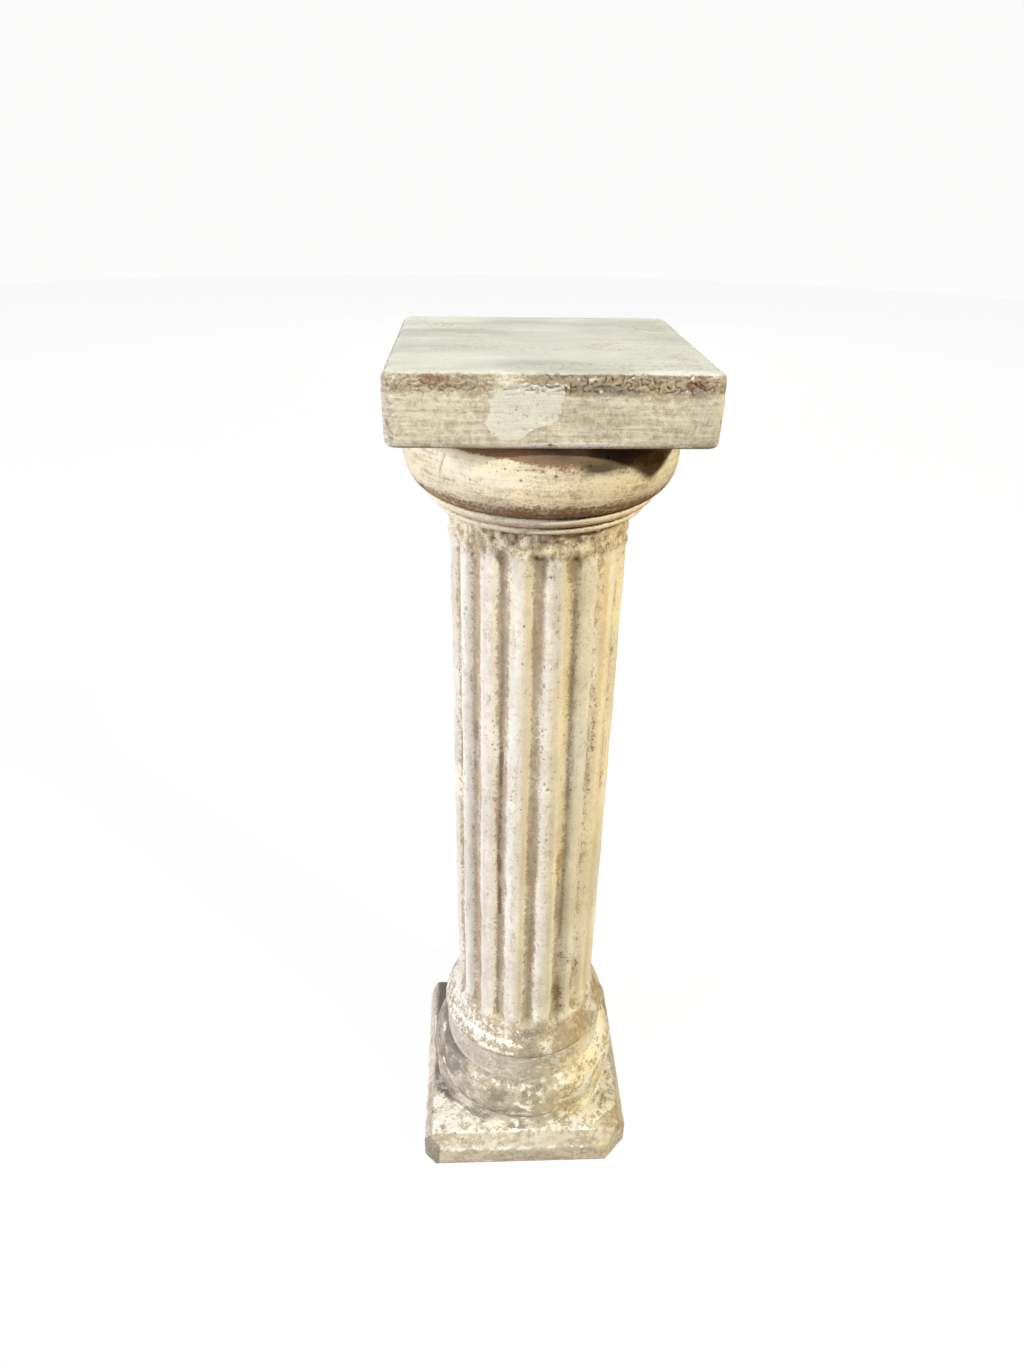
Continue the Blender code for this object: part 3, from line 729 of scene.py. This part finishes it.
# Painted warm light on flute walls that face right.
wear.mark("wash_and_painted_light", 0.50, 4.0, CREAM_WALL_WARM_LIGHT, turns=(0, 225))
wear.mark("wash_and_painted_light", 0.50, 7, BAND_WALL_WARM_LIGHT, turns=(0, 247.5))
wear.mark("ochre_and_painted_warm_light", 0.40, 4.5, CREAM_LINE_WARM_LIGHT, turns=(0, 225))
wear.mark("ochre_and_painted_warm_light", 0.30, 5, THIRD_FILLET)
wear.mark("ochre_and_painted_warm_light", 0.50, 6, OCHRE_BAND_WARM_LIGHT, turns=(0, 247.5))
# Ochre with painted warm light over the right panel and edge.
wear.mark("ochre_and_painted_warm_light", 0.40, 10, RIGHT_PANEL_WARM_LIGHT)
wear.mark("ochre_and_painted_warm_light", 0.15, 6, RIGHT_EDGE_WARM_LIGHT)
# Grey down the flute walls that face left: dirt with painted shade.
wear.mark("grime_and_painted_shade", 0.40, 3, GREY_BAND_SHADE, turns=(0, 180))
wear.mark("grime_and_painted_shade", 0.30, 4, FIRST_FLUTE_SHADE, FIRST_FLUTE_LOW_SHADE)
wear.mark("grime_and_painted_shade", 0.50, 3, *FIRST_FLUTE_DIRT, turns=(0, 90))
wear.mark("grime_and_painted_shade", 0.30, 4, MIDDLE_FLUTE_SHADE, turns=(0, 135))
wear.mark("grime_and_painted_shade", 0.30, 5, *GREY_SPOTS, turns=(0, 202.5))
wear.mark("grime_and_painted_shade", 0.30, 6, *GREY_FOOT, turns=(0, 135))
wear.mark("grime_and_painted_shade", 0.40, 3.5, *LIP_DIRT, turns=(0, 90, 180))
# Brown down the second flute: rust with painted shade.
wear.mark("rust_and_painted_shade", 0.35, 3.2, *SECOND_FLUTE_HIGH_SHADE)
wear.mark("rust_and_painted_shade", 0.42, 3.2, SECOND_FLUTE_SHADE)
wear.mark("rust_and_painted_shade", 0.25, 3.0, SECOND_FLUTE_LOW_SHADE)
wear.mark("rust_and_painted_shade", 0.45, 2.6, *SECOND_FLUTE_RUST, turns=SIXTHS)
wear.mark("rust_and_painted_shade", 0.45, 4, *HIGH_RUST, turns=(0, 112.5, 225))
wear.mark("rust_and_painted_shade", 0.38, 4, *LOW_RUST, turns=(0, 157.5))
wear.mark("rust_and_painted_shade", 0.42, 8, *FOOT_RUST, turns=(0, 112.5, 247.5))
wear.mark("rust_and_painted_shade", 0.30, 8, *BROAD_RUST)
wear.mark("rust_and_painted_shade", 0.55, 2.2, *RUST_SPOTS, turns=(0, 90, 247.5))
wear.mark("lime_and_painted_highlight", 0.55, 4, FOOT_LIME)
wear.mark("lime_and_painted_highlight", 0.85, 2, LIP_LIME, turns=QUARTERS)
wear.mark("ochre_and_painted_warm_light", 0.35, 2.5, LIP_OCHRE)
wear.press(0.9, 2.8, *NECK_DABS, turns=SIXTHS)
wear.pit(2.3, *SHAFT_PITS, turns=SIXTHS)
wear.pit(3.6, *DEEP_PITS, turns=(0, 135, 270))
LONG_STREAKS = (170.0, 170.0, 22.0)
streaked_wash = limewashed("streaked_whitewash", CHALK, CHALK_TINTED, BARE_STONE, LONG_STREAKS, 0.75)
wear.set_down(streaked_wash)
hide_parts("fluted_column")

# The capital is two thin rings with a groove between them, under a wide round cushion.
# It was run with a template while wet, so its surface is smooth, with a few casting holes near the slab.
LOW_ANNULET_RISE = 0.0065
LOW_ANNULET_OUT = 0.0130
HIGH_ANNULET_RISE = 0.0105
HIGH_ANNULET_OUT = 0.0200
GROOVE_IN = 0.0030
ECHINUS_BELLY_RISE = 0.0305
ECHINUS_OUT = 0.0376
ECHINUS_SHOULDER_RISE = 0.0284
ECHINUS_SHOULDER_IN = 0.0035
CAPITAL_COLUMNS = 512
CAPITAL_CELL = 0.0013

low_top = (SHAFT_TOP_RADIUS + LOW_ANNULET_OUT - GROOVE_IN, cavetto_top[1] + LOW_ANNULET_RISE)
echinus_foot = (SHAFT_TOP_RADIUS + HIGH_ANNULET_OUT - GROOVE_IN, low_top[1] + HIGH_ANNULET_RISE)
belly = (SHAFT_TOP_RADIUS + ECHINUS_OUT, echinus_foot[1] + ECHINUS_BELLY_RISE)
shoulder = (belly[0] - ECHINUS_SHOULDER_IN, belly[1] + ECHINUS_SHOULDER_RISE)
low_out = LOW_ANNULET_OUT - (CAVETTO_OUT + LOW_ANNULET_OUT - GROOVE_IN) / 2
high_out = GROOVE_IN + (HIGH_ANNULET_OUT - LOW_ANNULET_OUT) / 2
outline = [cavetto_top] + bulge(cavetto_top, low_top, low_out) + [low_top]
outline += bulge(low_top, echinus_foot, high_out) + [echinus_foot]
outline += quarter(echinus_foot, belly, False) + [belly] + quarter(belly, shoulder, True) + [shoulder]
capital = turned("capital", outline, CAPITAL_COLUMNS, CAPITAL_CELL)
CAPITAL_PITS = [
    (470, 467), (509, 463), (505, 469), (518, 471), (534, 471), (543, 472), (590, 467), (470, 480),
    (521, 481), (609.5, 457), (581, 463), (497, 472), (556, 477), (487, 463),
]
DEEP_CAPITAL_PIT = (609.5, 457)
CAPITAL_CRACKS = [[(445, 455), (441, 465), (440, 475)]]
LIT_BELLY = [(490, 484), (520, 485), (560, 483)]
LEFT_GLINT = [(447, 462), (446, 470)]
SHADE_EDGE = [(500, 468), (512, 472), (526, 470), (545, 473)]

wear = Wear(capital, CAPITAL_CRACKS + [[place] for place in CAPITAL_PITS])
x, y, z = wear.points.T
# The cushion's underside is browned: painted shade.
under = smooth(belly[1] - 0.006, belly[1] - 0.022, z)
under = under * smooth(echinus_foot[1] - 0.001, echinus_foot[1] + 0.002, z)
# The grooves are browned and greyed, with less lime: painted shade in the creases.
groove_painted_shade = near_to(low_top[1], 0.0022, z) + near_to(echinus_foot[1], 0.002, z)
# Under the slab the cushion is set back and browned all round: dirt in the joint with painted shade.
joint_band_dirt_and_shade = smooth(shoulder[1] - 0.012, shoulder[1] - 0.003, z)
cloudy = wear.rough(0.025, 33, (2, 2, 1))
# A brown band under the slab reaching further down towards the right, darkest in patches: a painted shadow
# of the slab.
reach = 0.003 + 0.017 * smooth(-0.08, 0.04, x) + 0.002 * cloudy
reach += 0.004 * wear.rough(0.006, 34, (2, 2, 1))
painted_slab_shadow = smooth(shoulder[1] - reach - 0.008, shoulder[1] - reach + 0.005, z) * smooth(0.100, 0.085, x)
darkest_painted_shadow = painted_slab_shadow * wear.patches(0.010, 35, -0.6, 0.5, (2, 2, 1)) * smooth(-0.04, 0.03, x)

wear.relief += 0.0004 * wear.rough(0.040, 31) + 0.00012 * wear.rough(0.009, 32)
wear.relief -= 0.0030 * joint_band_dirt_and_shade * (z < shoulder[1] - TOUCHING)
wear.coat("wash_and_painted_light", -0.12 * smooth(-0.3, 0.4, cloudy))
wear.coat("rust_and_painted_shade", 0.85 * joint_band_dirt_and_shade + 0.70 * under + 0.65 * groove_painted_shade + 0.75 * painted_slab_shadow)
wear.coat("hole_and_painted_shadow", 1.3 * darkest_painted_shadow)
wear.coat("grime_and_painted_shade", 0.20 * joint_band_dirt_and_shade + 0.25 * groove_painted_shade)
# Yellower towards the right: ochre with painted warm light in it.
wear.coat("ochre_and_painted_warm_light", 0.40 + 0.20 * cloudy + 0.20 * smooth(0.0, 0.09, x))
wear.coat("lime_and_painted_highlight", 0.30 * smooth(echinus_foot[1] - 0.001, echinus_foot[1] - 0.004, z) - 0.5 * groove_painted_shade)
# Painted highlights: a pool of light on the belly and a glint on the left.
wear.mark("lime_and_painted_highlight", 0.40, 16, LIT_BELLY)
wear.mark("lime_and_painted_highlight", 0.60, 4, LEFT_GLINT, turns=(0, 140))
wear.mark("grime_and_painted_shade", 0.60, 1.0, *CAPITAL_CRACKS, turns=(0, 140, 250))
wear.press(-0.5, 1.4, *CAPITAL_CRACKS, turns=(0, 140, 250))
# A painted shadow edge under the slab's front.
wear.mark("rust_and_painted_shade", 0.40, 2.5, SHADE_EDGE, turns=(0, 95, 190))
wear.pit(2.2, *CAPITAL_PITS, turns=(0, 70, 150, 220, 290))
wear.pit(4.2, DEEP_CAPITAL_PIT, turns=(0, 200))
TURNED_STREAKS = (30.0, 30.0, 380.0)
brushed_wash = limewashed("brushed_whitewash", CHALK, CHALK_TINTED, BARE_STONE, TURNED_STREAKS, 0.4)
wear.set_down(brushed_wash)
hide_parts("fluted_column")

# The slab is a separate square of cast stone, bedded on the capital with its edges softened.
# Limewash was brushed on it sideways, and its upper arris has crumbled and stained.
SLAB_HALF = 0.1200
SLAB_THICK = 0.0533
SLAB_CORNER = 0.0096
SLAB_TOP_EDGE = 0.0077
SLAB_BOTTOM_EDGE = 0.0045
BED_GAP = 0.0003
SHARP_EDGE = math.radians(32)


def round_off(slab, chosen, width):
    """Rounds the outer edges whose two ends are chosen."""
    edges = [
        edge
        for edge in slab.edges
        if chosen(edge.verts[0].co, edge.verts[1].co) and edge.calc_face_angle(0) > SHARP_EDGE
    ]
    bmesh.ops.bevel(
        slab,
        geom=edges,
        offset=width,
        offset_type="OFFSET",
        affect="EDGES",
        segments=5,
        profile=0.5,
        material=-1,
    )


slab_low = shoulder[1] + BED_GAP
slab_top = slab_low + SLAB_THICK
block = bmesh.new()
bmesh.ops.create_cube(block, size=1.0)
bmesh.ops.scale(block, vec=(2 * SLAB_HALF, 2 * SLAB_HALF, SLAB_THICK), verts=block.verts)
bmesh.ops.translate(block, vec=(0, 0, slab_low + SLAB_THICK / 2), verts=block.verts)
round_off(block, lambda a, b: abs(a.z - b.z) > SLAB_THICK / 2, SLAB_CORNER)
round_off(block, lambda a, b: min(a.z, b.z) > slab_top - TOUCHING, SLAB_TOP_EDGE)
round_off(block, lambda a, b: max(a.z, b.z) < slab_low + TOUCHING, SLAB_BOTTOM_EDGE)
slab = casting("top_slab_stone", block, SKIN_CELL)
SLAB_PITS = [(439, 382), (697, 385), (702, 388), (692, 383), (550, 446)]
SLAB_ARRIS = [
    [(385, 376), (440, 376), (500, 377), (560, 377), (620, 378), (680, 379), (722, 380)],
    [(385, 386), (550, 388), (722, 392)],
]
WHITE_PATCH = [
    (498.5, 390), (508, 384.5), (567, 384.5), (563.7, 399.4), (561.8, 414.3), (556, 421.7), (532, 431),
    (520.8, 440.4), (500.4, 440.4), (489, 431), (483.6, 423.6), (489, 414.3), (491, 401),
]
PATCH_RIM = [(505, 388), (530, 386), (565, 388)]
PATCH_LUMPS = [[(505, 386), (515, 384.5)], [(528, 385), (540, 386)], [(552, 385), (565, 387)]]
TOP_STAIN = [(515, 328), (485, 338), (450, 366)]
TOP_WHITES = [[(395, 358), (455, 362)], [(525, 356), (590, 358)]]
TOP_RIGHT_WHITE = [(668, 326), (716, 372)]
FRONT_STAINS = [[(600, 390), (640, 396)], [(700, 395), (708, 418)]]
FOOT_STAINS = [[(690, 446), (715, 447)], [(392, 440), (386, 420)]]
ARRIS_RUST = [[(692, 385), (703, 387)], [(425, 380), (445, 383)]]

wear = Wear(slab, SLAB_ARRIS + [[place] for place in SLAB_PITS])
x, y, z = wear.points.T
out = np.maximum(abs(x), abs(y))
on_top = smooth(slab_top - 0.003, slab_top - 0.0005, z)
crumbled = smooth(0.111, 0.115, out) * smooth(slab_top - 0.020, slab_top - 0.012, z)
crumbled *= smooth(slab_top + 0.001, slab_top - 0.003, z)
crumbled *= wear.patches(0.03, 46, -0.9, 0.0) * (0.7 + 0.3 * smooth(-0.06, 0.04, x))
corners = smooth(0.107, 0.114, np.minimum(abs(x), abs(y))) * smooth(slab_top - 0.004, slab_top - 0.012, z)
foot = smooth(slab_low + 0.008, slab_low + 0.002, z) * smooth(0.112, 0.117, out)
crumbled = np.maximum(crumbled, np.maximum(0.7 * corners, 0.15 * foot) * wear.patches(0.02, 49, -0.3, 0.4))
scales = wear.rough(0.0034, 42, (1.3, 1.3, 1)) + 0.7 * wear.rough(0.009, 50)
crackle = crumbled * near_to(0, 0.20, scales)

wear.relief -= 0.0003 * abs(wear.rough(0.030, 41)) + 0.0013 * crackle
wear.relief -= 0.0016 * crumbled * abs(wear.rough(0.005, 48))
wear.coat("wash_and_painted_light", -0.45 * crumbled)
wear.coat("rust_and_painted_shade", 0.30 * crumbled * wear.patches(0.007, 43, -0.5, 0.4) + 0.28 * crackle)
wear.coat("grime_and_painted_shade", 0.40 * crumbled)
wear.coat("lime_and_painted_highlight", 0.7 * crumbled * wear.patches(0.004, 51, 0.35, 0.6))
wear.coat("hole_and_painted_shadow", 0.8 * crumbled * wear.patches(0.0036, 52, 0.40, 0.60))
wear.coat("rust_and_painted_shade", 0.30 * near_to(slab_top - 0.0025, 0.0016, z))
# Lighter along the rounded bottom edge: painted light on faces that point down.
wear.coat("lime_and_painted_highlight", 0.60 * smooth(slab_low + 0.008, slab_low + 0.002, z) * wear.patches(0.02, 45, -0.6, 0.2))
wear.coat("wash_and_painted_light", 0.6 * on_top)
wear.coat("film", on_top * (0.12 + 0.20 * wear.rough(0.04, 53, (2.2, 1, 1))))
wear.coat("film", on_top * 0.22 * wear.rough(0.012, 54, (5, 1, 1)))
wear.coat("lime_and_painted_highlight", on_top * (0.86 + 0.30 * wear.rough(0.045, 44, (2, 1, 1))))
wear.coat("lime_and_painted_highlight", (1 - on_top) * 0.25 * wear.patches(0.035, 47, -0.1, 0.5, (2, 2, 1)))
wear.coat("lime_and_painted_highlight", 0.85 * wear.filled(WHITE_PATCH))
wear.mark("lime_and_painted_highlight", 0.50, 3, PATCH_RIM)
wear.press(0.8, 3, *PATCH_LUMPS)
wear.mark("grime_and_painted_shade", 0.22, 26, TOP_STAIN)
wear.mark("lime_and_painted_highlight", 0.26, 14, *TOP_WHITES)
wear.mark("lime_and_painted_highlight", 0.30, 6, TOP_RIGHT_WHITE)
wear.mark("grime_and_painted_shade", 0.30, 6, *FRONT_STAINS, turns=QUARTERS)
wear.mark("grime_and_painted_shade", 0.45, 4, *FOOT_STAINS, turns=QUARTERS)
wear.mark("rust_and_painted_shade", 0.50, 6, *ARRIS_RUST, turns=QUARTERS)
wear.pit(3.4, *SLAB_PITS, turns=QUARTERS)
SLAB_WASH = (0.78, 0.735, 0.63)
SLAB_TINTED = (0.54, 0.485, 0.38)
SLAB_STONE = (0.42, 0.35, 0.26)
SLAB_LIME_AND_HIGHLIGHT = (0.80, 0.80, 0.74)
SIDEWAYS_STREAKS = (18.0, 18.0, 360.0)
slab_wash = limewashed(
    "brushed_limewash_slab", SLAB_WASH, SLAB_TINTED, SLAB_STONE, SIDEWAYS_STREAKS, 0.55, 190.0, SLAB_LIME_AND_HIGHLIGHT
)
wear.set_down(slab_wash)
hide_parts("top_slab")

# The studio has a plain pale floor with a pale dome over it, a small warm lamp at the front right, a broad
# cool one on the left, and soft ones overhead and behind. The floor and the dome shine for the eye only,
# so the room's own brown light fills the shade.
ROOM_REACH = 9.0
LAMP_DISTANCE = 6.0
COLUMN_MIDDLE = (0, 0, 0.5)
PALE_GREY = (0.08, 0.08, 0.08, 1.0)
PLAIN_WHITE = (1.0, 1.0, 1.0, 1.0)
BROWN_FILL = (0.27, 0.17, 0.10)
DIM_FILL = (0.02, 0.02, 0.02)

floor_shape = bmesh.new()
bmesh.ops.create_grid(floor_shape, x_segments=1, y_segments=1, size=ROOM_REACH)
dome_shape = bmesh.new()
bmesh.ops.create_uvsphere(dome_shape, u_segments=48, v_segments=24, radius=ROOM_REACH)
pale = bpy.data.materials.new("pale_floor")
pale.use_nodes = True
paint = pale.node_tree.nodes["Principled BSDF"]
paint.inputs["Base Color"].default_value = PALE_GREY
paint.inputs["Roughness"].default_value = 0.9
paint.inputs["Specular IOR Level"].default_value = 0.0
paint.inputs["Emission Color"].default_value = PLAIN_WHITE
paint.inputs["Emission Strength"].default_value = 0.93
for name, shape in (("floor", floor_shape), ("dome", dome_shape)):
    ground = casting(name, shape)
    ground.data.materials.append(pale)
    ground.visible_diffuse = False
    ground.visible_glossy = False
    ground.visible_shadow = False

world = bpy.data.worlds.new("studio")
world.use_nodes = True
room = world.node_tree
over_head = node(room, "SeparateXYZ", {0: node(room, "TexCoord").outputs["Generated"]}).outputs["Z"]
height = node(room, "MapRange", {"Value": over_head, "From Min": -0.3, "From Max": 0.0}).outputs[0]
fill = over(room, height, BROWN_FILL, DIM_FILL)
room.links.new(fill, room.nodes["Background"].inputs["Color"])
bpy.context.scene.world = world


def soft_light(name, bearing, rise, size, power, colour):
    """A square lamp facing the column's middle, at a bearing from the front and a rise, in degrees."""
    bearing, rise = math.radians(bearing), math.radians(rise)
    level_reach = math.cos(rise)
    towards = Vector((math.sin(bearing) * level_reach, -math.cos(bearing) * level_reach, math.sin(rise)))
    lamp = bpy.data.objects.new(name, bpy.data.lights.new(name, "AREA"))
    lamp.data.size = size
    lamp.data.energy = power
    lamp.data.color = colour
    lamp.location = Vector(COLUMN_MIDDLE) + LAMP_DISTANCE * towards
    lamp.rotation_euler = towards.to_track_quat("Z", "Y").to_euler()
    bpy.context.scene.collection.objects.link(lamp)


soft_light("lamp", 50, 36, 0.5, 405, (1.0, 0.96, 0.77))
soft_light("window", -72, 14, 2.0, 455, (0.96, 0.98, 1.0))
soft_light("ceiling", 0, 88, 4.0, 85, (0.80, 0.91, 1.0))
soft_light("behind", 175, 20, 3.0, 90, (1.0, 0.96, 0.88))
bpy.context.scene.view_settings.view_transform = "Standard"
